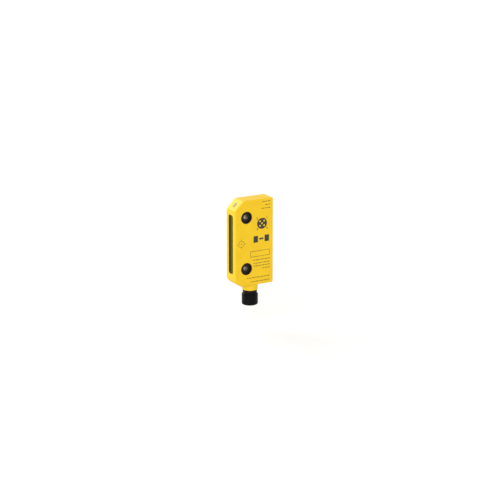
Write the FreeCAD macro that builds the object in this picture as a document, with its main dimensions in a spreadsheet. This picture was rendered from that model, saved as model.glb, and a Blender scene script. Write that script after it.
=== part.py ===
# Non-contact safety sensor: a potted yellow housing with a round plug connector below it.
# Millimetres. X runs right, Y runs back and Z runs up, and the sensor faces the viewer at -Y.
# The origin lies on the mounting face, midway between the two screw holes.
import FreeCAD, Part
import Sketcher
import os
from FreeCAD import Placement, Rotation, Vector

SIZES = [
    # outer form of the housing
    ("body_width", 36.0),
    ("body_height", 72.3),
    ("body_depth", 14.5),
    ("edge_round", 0.8),
    ("right_corner_round", 1.0),
    ("lamp_chamfer", 7.8),
    ("chamfer_blend", 2.0),
    ("foot_run", 5.8),
    ("foot_rise", 4.0),
    ("foot_round", 6.0),
    # screw holes, their rings and sleeves
    ("hole_from_left", 10.8),
    ("hole_from_top", 14.1),
    ("hole_spacing", 43.5),
    ("screw_hole", 4.3),
    ("sleeve_wall", 1.0),
    ("ring_diameter", 10.3),
    ("ring_length", 2.4),
    ("ring_recess", 8.7),
    ("recess_depth", 1.5),
    ("rim_round", 0.2),
    # opening in the left side and the cavity behind it
    ("slot_width", 7.4),
    ("slot_from_top", 11.8),
    ("slot_from_bottom", 10.5),
    ("slot_corner", 2.0),
    ("potting_recess", 0.5),
    ("end_wall", 3.0),
    # neck and connector
    ("connector_from_left", 18.0),
    ("neck_inset", 0.65),
    ("neck_taper", 0.2),
    ("neck_length", 4.95),
    ("neck_root", 1.5),
    ("neck_blend", 2.4),
    ("stem_diameter", 10.4),
    ("stem_length", 9.0),
    ("bore_rise", 0.5),
    ("thread_diameter", 12.0),
    ("nose_length", 11.7),
    ("nose_chamfer", 0.7),
    ("socket_diameter", 8.8),
    ("socket_depth", 8.3),
    ("key_width", 1.0),
    ("key_height", 0.8),
    ("pin_diameter", 1.0),
    ("pin_circle", 5.5),
    ("pin_reach", 7.4),
    ("pin_tip", 0.3),
    ("pin_tail", 1.5),
    ("seal_section", 1.2),
    ("seal_depth", 1.0),
    ("seal_from_foot", 4.0),
    ("lead_diameter", 0.9),
    ("lead_bend", 0.9),
    ("lead_land", 2.0),
    # protective cap
    ("cap_clearance", 0.1),
    ("cap_wall", 0.65),
    ("cap_cover", 7.6),
    ("cap_floor", 1.2),
    ("cap_floor_gap", 0.2),
    ("cap_round", 1.3),
    ("cap_lead_in", 0.3),
    # status lamp
    ("lamp_diameter", 4.4),
    ("lamp_depth", 4.0),
    ("lamp_rise", 0.4),
    ("lamp_dome", 1.0),
    ("lamp_lead", 0.5),
    ("lamp_lead_spacing", 1.0),
    ("passage_width", 0.7),
    # circuit board and what it carries
    ("board_thickness", 1.6),
    ("board_margin", 1.0),
    ("board_cover", 1.0),
    ("board_hole_gap", 0.5),
    ("coil_outer", 14.0),
    ("coil_inner", 9.0),
    ("coil_thickness", 1.5),
    ("core_thickness", 1.7),
    ("core_gap", 0.3),
    ("coil_edge_gap", 1.0),
    ("coil_head_gap", 4.0),
    ("controller_width", 7.0),
    ("controller_thickness", 1.4),
    ("controller_edge_gap", 4.5),
    ("controller_foot_gap", 9.0),
    ("crystal_width", 5.0),
    ("crystal_height", 3.2),
    ("crystal_thickness", 1.2),
    ("crystal_gap", 2.0),
    ("left_column", 3.0),
    ("column_above_hole", 5.05),
    ("regulator_width", 6.5),
    ("regulator_height", 3.5),
    ("regulator_thickness", 1.6),
    ("transistor_width", 3.0),
    ("transistor_height", 1.6),
    ("transistor_thickness", 1.1),
    ("transistor_pitch", 4.0),
    ("capacitor_width", 2.0),
    ("capacitor_height", 1.25),
    ("capacitor_thickness", 1.2),
    ("capacitor_pitch", 2.6),
    ("resistor_width", 1.6),
    ("resistor_height", 0.8),
    ("resistor_thickness", 0.5),
    ("resistor_pitch", 2.0),
    ("column_gap", 2.5),
    # room left between pieces that are fitted into each other
    ("fit_gap", 0.02),
]
CAPACITORS = 5
RESISTORS = 6
ROOT_SAMPLES = 5
TINY = 1e-4
FINE = 1e-3

doc = FreeCAD.newDocument("SafetySensor")
sheet = doc.addObject("Spreadsheet::Sheet", "Dims")
for row, (alias, size) in enumerate(SIZES, start=1):
    sheet.set(f"A{row}", alias)
    sheet.set(f"B{row}", str(size))
    sheet.setAlias(f"B{row}", alias)
doc.recompute()

# Places that several pieces share, as expressions on the sheet
LEFT = "(-Dims.hole_from_left)"
RIGHT = "(Dims.body_width - Dims.hole_from_left)"
TOP = "(Dims.hole_spacing / 2 + Dims.hole_from_top)"
BOTTOM = f"({TOP} - Dims.body_height)"
SLOT_FOOT = f"({BOTTOM} + Dims.slot_from_bottom)"
SLOT_HEAD = f"({TOP} - Dims.slot_from_top)"
SLOT_MIDDLE = "(-Dims.body_depth / 2)"
CAVITY_END = f"({RIGHT} - Dims.end_wall)"
POTTING_FACE = f"({LEFT} + Dims.potting_recess)"
CONNECTOR_X = f"({LEFT} + Dims.connector_from_left)"
CONNECTOR_Y = SLOT_MIDDLE
NECK_FOOT = f"({BOTTOM} - Dims.neck_length)"
NECK_TOP_RADIUS = "(Dims.body_depth / 2 - Dims.neck_inset)"
NECK_FOOT_RADIUS = f"({NECK_TOP_RADIUS} - Dims.neck_taper)"
NECK_HEIGHT = "(Dims.neck_length + Dims.neck_root)"
STEM_HEAD = f"({NECK_FOOT} + Dims.stem_length)"
STEM_BORE = "(Dims.stem_diameter + 2 * Dims.fit_gap)"
BORE_HEAD = f"({SLOT_FOOT} + Dims.bore_rise)"
SOCKET_FLOOR = "(Dims.socket_depth - Dims.nose_length)"
PIN_OFFSET = "(Dims.pin_circle / 2 * cos(45))"
RING_SEAT = "(Dims.body_depth - Dims.ring_length)"
SLEEVE_DIAMETER = "(Dims.screw_hole + 2 * Dims.sleeve_wall)"
NOTCH_DIAMETER = f"({SLEEVE_DIAMETER} + 2 * Dims.board_hole_gap)"
BOARD_LEFT = f"({POTTING_FACE} + Dims.board_cover)"
BOARD_RIGHT = f"({CAVITY_END} - Dims.board_margin)"
BOARD_FOOT = f"({SLOT_FOOT} + Dims.board_margin)"
BOARD_HEAD = f"({SLOT_HEAD} - Dims.board_margin)"
BOARD_FRONT = f"({SLOT_MIDDLE} - Dims.board_thickness / 2)"
BOARD_BACK = f"({SLOT_MIDDLE} + Dims.board_thickness / 2)"
LAMP_X = f"({LEFT} + Dims.lamp_chamfer / 2 + Dims.lamp_depth / sqrt(2))"
LAMP_Z = f"({TOP} - Dims.lamp_chamfer / 2 - Dims.lamp_depth / sqrt(2))"
PASSAGE_HEAD = f"({LAMP_Z} + Dims.passage_width / 2)"
PASSAGE_LENGTH = "(Dims.lamp_lead_spacing + Dims.passage_width)"
COIL_X = f"({BOARD_RIGHT} - Dims.coil_edge_gap - Dims.coil_outer / 2)"
COIL_Z = f"({BOARD_HEAD} - Dims.coil_head_gap - Dims.coil_outer / 2)"
CORE_DIAMETER = "(Dims.coil_inner - 2 * Dims.core_gap)"

# The screw holes, upper and lower
HOLES = {"upper": "(Dims.hole_spacing / 2)", "lower": "(-Dims.hole_spacing / 2)"}
# Turns that point a piece's own Z forward, or out of the cut corner
FORWARD = Rotation(Vector(1, 0, 0), 90)
OUT_OF_CORNER = Rotation(Vector(0, 1, 0), -45)


def value(text):
    """Number that an expression on the sheet comes to."""
    return float(sheet.evalExpression(text))


def place(piece, x="0", y="0", z="0", turn=Rotation()):
    """Turn a piece and tie its place to the sheet."""
    piece.Placement = Placement(Vector(), turn)
    for axis, text in zip("xyz", (x, y, z)):
        piece.setExpression(f"Placement.Base.{axis}", text)


def attach(feature, body, role, x="0", y="0", z="0", turn=Rotation()):
    """Attach a sketch or primitive to one of its body's planes, moved by an offset."""
    plane = next(part for part in body.Origin.OriginFeatures if part.Role == role)
    feature.AttachmentSupport = [(plane, "")]
    feature.MapMode = "FlatFace"
    feature.AttachmentOffset = Placement(Vector(), turn)
    for axis, text in zip("xyz", (x, y, z)):
        feature.setExpression(f"AttachmentOffset.Base.{axis}", text)


def new_body(label):
    """Empty body whose label names its file."""
    return doc.addObject("PartDesign::Body", label)


def new_sketch(body, name, role, height="0"):
    """Empty sketch on one of the body's planes, or parallel to it."""
    sketch = body.newObject("Sketcher::SketchObject", f"{body.Name}_{name}")
    attach(sketch, body, role, z=height)
    return sketch


def hold(sketch, curve, point, x, y):
    """Tie one point of a curve to its place."""
    for kind, text in (("DistanceX", x), ("DistanceY", y)):
        constraint = Sketcher.Constraint(kind, -1, 1, curve, point, value(text))
        number = sketch.addConstraint(constraint)
        sketch.setExpression(f"Constraints[{number}]", text)


def draw_polygon(sketch, corners):
    """Closed outline through the corners, each an (x, y) pair of expressions."""
    points = [Vector(value(x), value(y), 0) for x, y in corners]
    first = sketch.GeometryCount
    for start, end in zip(points, points[1:] + points[:1]):
        sketch.addGeometry(Part.LineSegment(start, end), False)
    for number, (x, y) in enumerate(corners):
        following = first + (number + 1) % len(corners)
        sketch.addConstraint(Sketcher.Constraint("Coincident", first + number, 2, following, 1))
        hold(sketch, first + number, 1, x, y)


def draw_rectangle(sketch, left, right, foot, head):
    """Rectangle between four expressions."""
    draw_polygon(sketch, [(left, foot), (right, foot), (right, head), (left, head)])


def draw_circle(sketch, x, y, diameter):
    """Circle with its centre and diameter tied to expressions."""
    radius = value(diameter) / 2
    centre = Vector(value(x), value(y), 0)
    curve = sketch.addGeometry(Part.Circle(centre, Vector(0, 0, 1), radius), False)
    hold(sketch, curve, 3, x, y)
    number = sketch.addConstraint(Sketcher.Constraint("Diameter", curve, 2 * radius))
    sketch.setExpression(f"Constraints[{number}]", diameter)


def pad(body, sketch, length, kind="Pad", reverse=False):
    """Pull a sketch along its normal."""
    feature = body.newObject(f"PartDesign::{kind}", f"{sketch.Name}_{kind.lower()}")
    feature.Profile = sketch
    feature.Reversed = reverse
    feature.setExpression("Length", length)
    doc.recompute()
    return feature


def pocket(body, sketch, length, reverse=False):
    """Cut a sketch into the body, against its normal unless reversed."""
    before = body.Shape.Volume
    feature = pad(body, sketch, length, "Pocket", reverse)
    if body.Shape.Volume > before - TINY:
        raise ValueError(f"{feature.Name} cuts nothing")
    return feature


def revolve(body, corners):
    """Turn an outline of (radius, height) corners round the body's own Z."""
    sketch = new_sketch(body, "section", "XZ_Plane")
    draw_polygon(sketch, corners)
    feature = body.newObject("PartDesign::Revolution", f"{body.Name}_revolution")
    feature.Profile = sketch
    feature.ReferenceAxis = (sketch, ["V_Axis"])
    feature.Angle = 360
    doc.recompute()
    return feature


def fillet(body, name, radius, test):
    """Round those edges of the body that the test picks."""
    base = body.Tip
    names = [f"Edge{number}" for number, edge in enumerate(base.Shape.Edges, start=1) if test(edge)]
    feature = body.newObject("PartDesign::Fillet", f"{body.Name}_{name}")
    feature.Base = (base, names)
    feature.setExpression("Radius", radius)
    doc.recompute()
    return feature


def lies_at(**places):
    """Test for edges whose whole box lies at the given places, such as XMin=3, XMax=3."""
    def test(edge):
        box = edge.BoundBox
        return all(abs(getattr(box, side) - place_) < TINY for side, place_ in places.items())
    return test


def corner_edges(*corners):
    """Test for the edges that run from front to back at corners of the outline."""
    tests = []
    for x, z in corners:
        x, z = value(x), value(z)
        tests.append(lies_at(XMin=x, XMax=x, ZMin=z, ZMax=z))
    return lambda edge: any(test(edge) for test in tests)


def make_outer_form(body):
    """Flat box with a cut upper left corner, a swept lower left one and rounded edges all round."""
    outline = new_sketch(body, "outline", "XZ_Plane")
    cut_x = f"({LEFT} + Dims.lamp_chamfer)"
    cut_z = f"({TOP} - Dims.lamp_chamfer)"
    foot_x = f"({LEFT} + Dims.foot_run)"
    foot_z = f"({BOTTOM} + Dims.foot_rise)"
    draw_polygon(outline, [(LEFT, foot_z), (foot_x, BOTTOM), (RIGHT, BOTTOM), (RIGHT, TOP),
                           (cut_x, TOP), (LEFT, cut_z)])
    pad(body, outline, "Dims.body_depth")
    fillet(body, "foot", "Dims.foot_round", corner_edges((LEFT, foot_z), (foot_x, BOTTOM)))
    fillet(body, "right", "Dims.right_corner_round", corner_edges((RIGHT, BOTTOM), (RIGHT, TOP)))
    fillet(body, "blend", "Dims.chamfer_blend", corner_edges((cut_x, TOP), (LEFT, cut_z)))
    depth = value("Dims.body_depth")
    back = lies_at(YMin=0, YMax=0)
    front = lies_at(YMin=-depth, YMax=-depth)
    fillet(body, "edges", "Dims.edge_round", lambda edge: back(edge) or front(edge))


def neck_root_edges():
    """Test for the edges where the tapered neck meets the box."""
    x, y = value(CONNECTOR_X), value(CONNECTOR_Y)
    foot, box_foot = value(NECK_FOOT), value(BOTTOM)
    foot_radius, taper = value(NECK_FOOT_RADIUS), value(f"Dims.neck_taper / {NECK_HEIGHT}")

    def lies_on_root(point):
        radius = ((point.x - x) ** 2 + (point.y - y) ** 2) ** 0.5
        on_neck = abs(radius - foot_radius - taper * (point.z - foot)) < FINE
        return on_neck and point.z > box_foot - FINE
    return lambda edge: all(lies_on_root(point) for point in edge.discretize(ROOT_SAMPLES))


def make_neck(body):
    """Tapered round neck blended into the box, bored through to the cavity for the connector."""
    neck = body.newObject("PartDesign::AdditiveCone", "neck")
    attach(neck, body, "XY_Plane", CONNECTOR_X, CONNECTOR_Y, NECK_FOOT)
    neck.setExpression("Radius1", NECK_FOOT_RADIUS)
    neck.setExpression("Radius2", NECK_TOP_RADIUS)
    neck.setExpression("Height", NECK_HEIGHT)
    doc.recompute()
    fillet(body, "neck_root", "Dims.neck_blend", neck_root_edges())
    bore = new_sketch(body, "bore", "XY_Plane", NECK_FOOT)
    draw_circle(bore, CONNECTOR_X, CONNECTOR_Y, STEM_BORE)
    pocket(body, bore, f"{BORE_HEAD} - {NECK_FOOT}", reverse=True)


def draw_slot(sketch):
    """Outline of the opening in the left side, across the sensor."""
    front = f"({SLOT_MIDDLE} - Dims.slot_width / 2)"
    back = f"({SLOT_MIDDLE} + Dims.slot_width / 2)"
    draw_rectangle(sketch, front, back, SLOT_FOOT, SLOT_HEAD)


def round_slot(body):
    """Round the four long corners of the opening or of its filling."""
    front = value(f"{SLOT_MIDDLE} - Dims.slot_width / 2")
    back = value(f"{SLOT_MIDDLE} + Dims.slot_width / 2")
    sides = [lies_at(YMin=y, YMax=y, ZMin=z, ZMax=z)
             for y in (front, back) for z in (value(SLOT_FOOT), value(SLOT_HEAD))]
    fillet(body, "corners", "Dims.slot_corner", lambda edge: any(side(edge) for side in sides))


def draw_passage(sketch):
    """Outline of the passage for the lamp leads, looking down."""
    draw_rectangle(sketch, f"{LAMP_X} - Dims.passage_width / 2", f"{LAMP_X} + Dims.passage_width / 2",
                   f"{SLOT_MIDDLE} - {PASSAGE_LENGTH} / 2", f"{SLOT_MIDDLE} + {PASSAGE_LENGTH} / 2")


def make_housing():
    """One moulding: box, neck, cavity open to the left, ring seats, sleeve holes and lamp hole."""
    body = new_body("housing")
    make_outer_form(body)
    slot = new_sketch(body, "slot", "YZ_Plane", LEFT)
    draw_slot(slot)
    pocket(body, slot, f"{CAVITY_END} - {LEFT}", reverse=True)
    round_slot(body)
    make_neck(body)
    seats = new_sketch(body, "seats", "XZ_Plane", "Dims.body_depth")
    holes = new_sketch(body, "holes", "XZ_Plane")
    for height in HOLES.values():
        draw_circle(seats, "0", height, "Dims.ring_diameter + 2 * Dims.fit_gap")
        draw_circle(holes, "0", height, f"{SLEEVE_DIAMETER} + 2 * Dims.fit_gap")
    pocket(body, seats, "Dims.ring_length")
    pocket(body, holes, RING_SEAT, reverse=True)
    lamp_hole = body.newObject("PartDesign::SubtractiveCylinder", "lamp_hole")
    attach(lamp_hole, body, "XY_Plane", LAMP_X, SLOT_MIDDLE, LAMP_Z, OUT_OF_CORNER)
    lamp_hole.setExpression("Radius", "Dims.lamp_diameter / 2 + Dims.fit_gap")
    lamp_hole.setExpression("Height", "Dims.lamp_depth + Dims.lamp_chamfer")
    doc.recompute()
    passage = new_sketch(body, "passage", "XY_Plane", f"{SLOT_HEAD} - Dims.slot_corner")
    draw_passage(passage)
    pocket(body, passage, f"{PASSAGE_HEAD} - {SLOT_HEAD} + Dims.slot_corner", reverse=True)
    return body


def make_ring(side, height):
    """Dished ring round a screw hole, seated in the front of the housing."""
    body = new_body(f"distance_ring_{side}")
    inner, outer, dish = "Dims.screw_hole / 2", "Dims.ring_diameter / 2", "Dims.ring_recess / 2"
    floor = "Dims.body_depth - Dims.recess_depth"
    revolve(body, [(inner, RING_SEAT), (outer, RING_SEAT), (outer, "Dims.body_depth"),
                   (dish, "Dims.body_depth"), (dish, floor), (inner, floor)])
    rim = value("Dims.body_depth")
    fillet(body, "rim", "Dims.rim_round", lies_at(ZMin=rim, ZMax=rim))
    place(body, z=height, turn=FORWARD)
    return body


def make_sleeve(side, height):
    """Metal tube that takes the load of the screw, from the ring to the mounting face."""
    body = new_body(f"sleeve_{side}")
    inner, outer = "Dims.screw_hole / 2", f"{SLEEVE_DIAMETER} / 2"
    revolve(body, [(inner, "0"), (outer, "0"), (outer, RING_SEAT), (inner, RING_SEAT)])
    place(body, z=height, turn=FORWARD)
    return body


def make_lamp():
    """Round lamp with a domed front, set square in the cut corner."""
    body = new_body("status_lamp")
    circle = new_sketch(body, "circle", "XY_Plane")
    draw_circle(circle, "0", "0", "Dims.lamp_diameter")
    pad(body, circle, "Dims.lamp_depth + Dims.lamp_rise")
    front = value("Dims.lamp_depth + Dims.lamp_rise")
    fillet(body, "dome", "Dims.lamp_dome", lies_at(ZMin=front, ZMax=front))
    place(body, LAMP_X, SLOT_MIDDLE, LAMP_Z, OUT_OF_CORNER)
    return body


def make_lamp_leads(lamp):
    """Two straight wires from the back of the lamp down to the upper edge of the board."""
    leads = []
    for name, y in (("front", f"{SLOT_MIDDLE} - Dims.lamp_lead_spacing / 2"),
                    ("back", f"{SLOT_MIDDLE} + Dims.lamp_lead_spacing / 2")):
        wire = doc.addObject("Part::Cylinder", f"lamp_wire_{name}")
        wire.setExpression("Radius", "Dims.lamp_lead / 2")
        wire.setExpression("Height", f"{PASSAGE_HEAD} - {BOARD_HEAD}")
        place(wire, LAMP_X, y, BOARD_HEAD)
        lead = doc.addObject("Part::Cut", f"lamp_lead_{name}")
        lead.Base = wire
        lead.Tool = lamp
        leads.append(lead)
    return make_group("lamp_leads", leads)


def make_group(label, members):
    """Several like pieces kept as one part."""
    group = doc.addObject("Part::Compound", label)
    group.Links = members
    return group


def make_connector_body():
    """Moulded plug body: sealed stem in the neck, round nose with a keyed socket for the contacts."""
    body = new_body("connector_body")
    stem, nose, socket = "Dims.stem_diameter / 2", "Dims.thread_diameter / 2", "Dims.socket_diameter / 2"
    groove = f"({STEM_BORE} / 2 - Dims.seal_depth)"
    groove_foot = "(Dims.seal_from_foot - Dims.seal_section / 2)"
    groove_head = "(Dims.seal_from_foot + Dims.seal_section / 2)"
    mouth = "(-Dims.nose_length)"
    revolve(body, [("0", "Dims.stem_length"), (stem, "Dims.stem_length"), (stem, groove_head),
                   (groove, groove_head), (groove, groove_foot), (stem, groove_foot), (stem, "0"),
                   (nose, "0"), (nose, f"{mouth} + Dims.nose_chamfer"),
                   (f"{nose} - Dims.nose_chamfer", mouth), (socket, mouth),
                   (socket, SOCKET_FLOOR), ("0", SOCKET_FLOOR)])
    key = new_sketch(body, "key", "XY_Plane", SOCKET_FLOOR)
    draw_rectangle(key, "-Dims.key_width / 2", "Dims.key_width / 2",
                   f"{socket} - Dims.key_height", f"({socket} + {nose}) / 2")
    pad(body, key, "Dims.socket_depth - Dims.nose_chamfer", reverse=True)
    holes = new_sketch(body, "pin_holes", "XY_Plane", "Dims.stem_length")
    for x, y in pin_places():
        draw_circle(holes, x, y, "Dims.pin_diameter + 2 * Dims.fit_gap")
    pocket(body, holes, f"Dims.stem_length - {SOCKET_FLOOR}")
    place(body, CONNECTOR_X, CONNECTOR_Y, NECK_FOOT)
    return body


def pin_places():
    """The five contacts: four on a circle, numbered round it, and one in the middle."""
    near, far = PIN_OFFSET, f"(-{PIN_OFFSET})"
    return [(far, near), (near, near), (near, far), (far, far), ("0", "0")]


def make_pin(number, x, y):
    """Round contact with a tapered tip below and a tail above the stem."""
    body = new_body(f"contact_pin_{number}")
    radius = "Dims.pin_diameter / 2"
    tip = f"({SOCKET_FLOOR} - Dims.pin_reach)"
    head = "Dims.stem_length + Dims.pin_tail"
    revolve(body, [("0", head), (radius, head), (radius, f"{tip} + Dims.pin_tip"),
                   (f"{radius} - Dims.pin_tip", tip), ("0", tip)])
    place(body, f"{CONNECTOR_X} + {x}", f"{CONNECTOR_Y} + {y}", NECK_FOOT)
    return body


def make_bent_lead(number, x, y, behind):
    """Lead from an outer pin straight up, then in a bend to the face of the board."""
    body = new_body(f"lead_{number}")
    section = new_sketch(body, "section", "XY_Plane")
    draw_circle(section, "0", "0", "Dims.lead_diameter")
    face = BOARD_BACK if behind else BOARD_FRONT
    reach = f"({face} - {CONNECTOR_Y} - {y})"
    run = f"(-{reach})" if behind else reach
    rise = f"({BOARD_FOOT} + Dims.lead_land - {STEM_HEAD} - Dims.pin_tail)"
    turn_z = f"({rise} - Dims.lead_bend)"
    route = new_sketch(body, "route", "YZ_Plane")
    foot, bend = Vector(), value("Dims.lead_bend")
    low = Vector(0, value(turn_z), 0)
    high = Vector(bend, value(rise), 0)
    end = Vector(value(run), value(rise), 0)
    centre = Vector(bend, value(turn_z), 0)
    corner = centre + Vector(-bend, bend, 0) * 0.5 ** 0.5
    route.addGeometry(Part.LineSegment(foot, low), False)
    route.addGeometry(Part.Arc(low, corner, high), False)
    route.addGeometry(Part.LineSegment(high, end), False)
    hold(route, 0, 1, "0", "0")
    hold(route, 0, 2, "0", turn_z)
    hold(route, 1, 3, "Dims.lead_bend", turn_z)
    hold(route, 2, 1, "Dims.lead_bend", rise)
    hold(route, 2, 2, run, rise)
    pipe = body.newObject("PartDesign::AdditivePipe", f"{body.Name}_pipe")
    pipe.Profile = section
    pipe.Spine = (route, ["Edge1", "Edge2", "Edge3"])
    turn = Rotation(Vector(0, 0, 1), 180 if behind else 0)
    place(body, f"{CONNECTOR_X} + {x}", f"{CONNECTOR_Y} + {y}", f"{STEM_HEAD} + Dims.pin_tail", turn)
    return body


def make_straight_lead(number):
    """Lead from the middle pin straight up to the lower edge of the board."""
    lead = doc.addObject("Part::Cylinder", f"lead_{number}")
    lead.setExpression("Radius", "Dims.lead_diameter / 2")
    lead.setExpression("Height", f"{BOARD_FOOT} - {STEM_HEAD} - Dims.pin_tail")
    place(lead, CONNECTOR_X, CONNECTOR_Y, f"{STEM_HEAD} + Dims.pin_tail")
    return lead


def make_contacts():
    """Five pins and the lead on the tail of each."""
    pins = []
    leads = []
    for number, (x, y) in enumerate(pin_places(), start=1):
        pins.append(make_pin(number, x, y))
        if y == "0":
            leads.append(make_straight_lead(number))
        else:
            leads.append(make_bent_lead(number, x, y, behind=y == PIN_OFFSET))
    return pins, leads


def make_seal():
    """Rubber ring between the connector's stem and the neck, squeezed to the groove's depth."""
    seal = doc.addObject("Part::Torus", "connector_seal")
    seal.setExpression("Radius1", f"({STEM_BORE} - Dims.seal_depth) / 2")
    seal.setExpression("Radius2", "Dims.seal_depth / 2")
    place(seal, CONNECTOR_X, CONNECTOR_Y, f"{NECK_FOOT} + Dims.seal_from_foot")
    return seal


def make_cap():
    """Push-on cap over the end of the connector."""
    body = new_body("protective_cap")
    bore = "(Dims.thread_diameter / 2 + Dims.cap_clearance)"
    outer = f"({bore} + Dims.cap_wall)"
    rim = "(Dims.cap_cover - Dims.nose_length)"
    floor = "(-Dims.nose_length - Dims.cap_floor_gap)"
    foot = f"({floor} - Dims.cap_floor)"
    revolve(body, [("0", foot), (outer, foot), (outer, rim), (f"{bore} + Dims.cap_lead_in", rim),
                   (bore, f"{rim} - Dims.cap_lead_in"), (bore, floor), ("0", floor)])
    foot_edge = lies_at(ZMin=value(foot), ZMax=value(foot))
    fillet(body, "foot", "Dims.cap_round", foot_edge)
    place(body, CONNECTOR_X, CONNECTOR_Y, NECK_FOOT)
    return body


def make_board():
    """Circuit board in the cavity, cut out round the two sleeves."""
    body = new_body("circuit_board")
    outline = new_sketch(body, "outline", "XZ_Plane", f"-{BOARD_BACK}")
    draw_rectangle(outline, BOARD_LEFT, BOARD_RIGHT, BOARD_FOOT, BOARD_HEAD)
    pad(body, outline, "Dims.board_thickness")
    notches = new_sketch(body, "notches", "XZ_Plane", f"-{BOARD_FRONT}")
    for height in HOLES.values():
        draw_circle(notches, "0", height, NOTCH_DIAMETER)
    pocket(body, notches, "Dims.board_thickness")
    return body


def make_chip(label, size, x, z, behind=False):
    """Flat chip on the front or the back of the board; x and z are its lower left corner."""
    chip = doc.addObject("Part::Box", label)
    chip.setExpression("Length", f"Dims.{size}_width")
    chip.setExpression("Width", f"Dims.{size}_thickness")
    chip.setExpression("Height", f"Dims.{size}_height")
    place(chip, x, BOARD_BACK if behind else f"{BOARD_FRONT} - Dims.{size}_thickness", z)
    return chip


def make_controllers():
    """Two square controllers back to back, one for each safety channel, and their clock crystal."""
    x = f"({BOARD_RIGHT} - Dims.controller_edge_gap - Dims.controller_width)"
    z = f"({BOARD_FOOT} + Dims.controller_foot_gap)"
    chips = []
    for label, behind in (("controller_a", False), ("controller_b", True)):
        chip = make_chip(label, "controller", x, z, behind)
        chip.setExpression("Height", "Dims.controller_width")
        chips.append(chip)
    crystal_z = f"{z} + Dims.controller_width + Dims.crystal_gap"
    chips.append(make_chip("clock_crystal", "crystal", x, crystal_z))
    return chips


def make_left_columns():
    """Power and output parts in a column on each face of the board, beside the opening."""
    x = f"({BOARD_LEFT} + Dims.left_column)"
    z = f"({NOTCH_DIAMETER} / 2 - Dims.hole_spacing / 2 + Dims.column_above_hole)"
    parts = [make_chip("voltage_regulator", "regulator", x, z)]
    row = f"({z} + Dims.regulator_height + Dims.column_gap)"
    capacitors = [make_chip(f"capacitor_{number}", "capacitor", x, f"{row} + {number} * Dims.capacitor_pitch")
                  for number in range(CAPACITORS)]
    parts.append(make_group("chip_capacitors", capacitors))
    for number, label in enumerate(("output_transistor_a", "output_transistor_b")):
        parts.append(make_chip(label, "transistor", x, f"{z} + {number} * Dims.transistor_pitch", True))
    row = f"({z} + 2 * Dims.transistor_pitch + Dims.column_gap)"
    resistors = [make_chip(f"resistor_{number}", "resistor", x, f"{row} + {number} * Dims.resistor_pitch", True)
                 for number in range(RESISTORS)]
    parts.append(make_group("chip_resistors", resistors))
    return parts


def make_coil(label, core_label, behind):
    """Flat wound coil on one face of the board, with a ferrite disc in its middle."""
    coil = new_body(label)
    rings = new_sketch(coil, "rings", "XZ_Plane")
    draw_circle(rings, "0", "0", "Dims.coil_outer")
    draw_circle(rings, "0", "0", "Dims.coil_inner")
    pad(coil, rings, "Dims.coil_thickness", reverse=behind)
    core = new_body(core_label)
    disc = new_sketch(core, "disc", "XZ_Plane")
    draw_circle(disc, "0", "0", CORE_DIAMETER)
    pad(core, disc, "Dims.core_thickness", reverse=behind)
    for body in (coil, core):
        place(body, COIL_X, BOARD_BACK if behind else BOARD_FRONT, COIL_Z)
    return [coil, core]


def make_sleeve_space(side, height):
    """Round space that a sleeve and its screw take up in the filling."""
    space = doc.addObject("Part::Cylinder", f"sleeve_space_{side}")
    space.setExpression("Radius", f"{SLEEVE_DIAMETER} / 2")
    space.setExpression("Height", "Dims.body_depth")
    place(space, z=height, turn=FORWARD)
    return space


def make_potting(inner_pieces):
    """Cast filling of the cavity, the bore and the lamp passage, set round the pieces inside."""
    fill = new_body("potting_fill")
    slot = new_sketch(fill, "slot", "YZ_Plane", POTTING_FACE)
    draw_slot(slot)
    pad(fill, slot, f"{CAVITY_END} - {POTTING_FACE}")
    round_slot(fill)
    bore = new_sketch(fill, "bore", "XY_Plane", STEM_HEAD)
    draw_circle(bore, CONNECTOR_X, CONNECTOR_Y, STEM_BORE)
    pad(fill, bore, f"{BORE_HEAD} - {STEM_HEAD}")
    passage = new_sketch(fill, "passage", "XY_Plane", f"{SLOT_HEAD} - Dims.slot_corner")
    draw_passage(passage)
    pad(fill, passage, f"{PASSAGE_HEAD} - {SLOT_HEAD} + Dims.slot_corner")
    moulds = doc.addObject("Part::MultiFuse", "potting_moulds")
    moulds.Shapes = inner_pieces + [make_sleeve_space(side, height) for side, height in HOLES.items()]
    potting = doc.addObject("Part::Cut", "potting_compound")
    potting.Base = fill
    potting.Tool = moulds
    return potting


def make_sensor():
    """All pieces of the sensor, the filling last."""
    rings = [make_ring(side, height) for side, height in HOLES.items()]
    sleeves = [make_sleeve(side, height) for side, height in HOLES.items()]
    lamp = make_lamp()
    lamp_leads = make_lamp_leads(lamp)
    pins, leads = make_contacts()
    inner = [make_board(), lamp, lamp_leads] + rings + pins + leads
    inner += make_controllers() + make_left_columns()
    inner += make_coil("transmitter_coil", "transmitter_core", behind=False)
    inner += make_coil("receiver_coil", "receiver_core", behind=True)
    outer = [make_housing(), make_connector_body(), make_seal(), make_cap()] + sleeves
    return outer + inner + [make_potting(inner)]


def write_parts(pieces):
    """Write each piece to its own file, once the whole document is sound."""
    for item in doc.Objects:
        if {"Invalid", "Error"} & set(item.State):
            raise ValueError(f"{item.Label} failed: {item.State}")
    for piece in pieces:
        if piece.Shape.isNull() or not piece.Shape.isValid():
            raise ValueError(f"{piece.Label} has no sound shape")
    os.makedirs("parts", exist_ok=True)
    for piece in pieces:
        piece.Shape.exportStep(f"parts/{piece.Label}.step")


parts = make_sensor()
doc.recompute()
write_parts(parts)
for part in parts:
    print(part.Label, len(part.Shape.Solids), round(part.Shape.Volume, 2))
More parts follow.
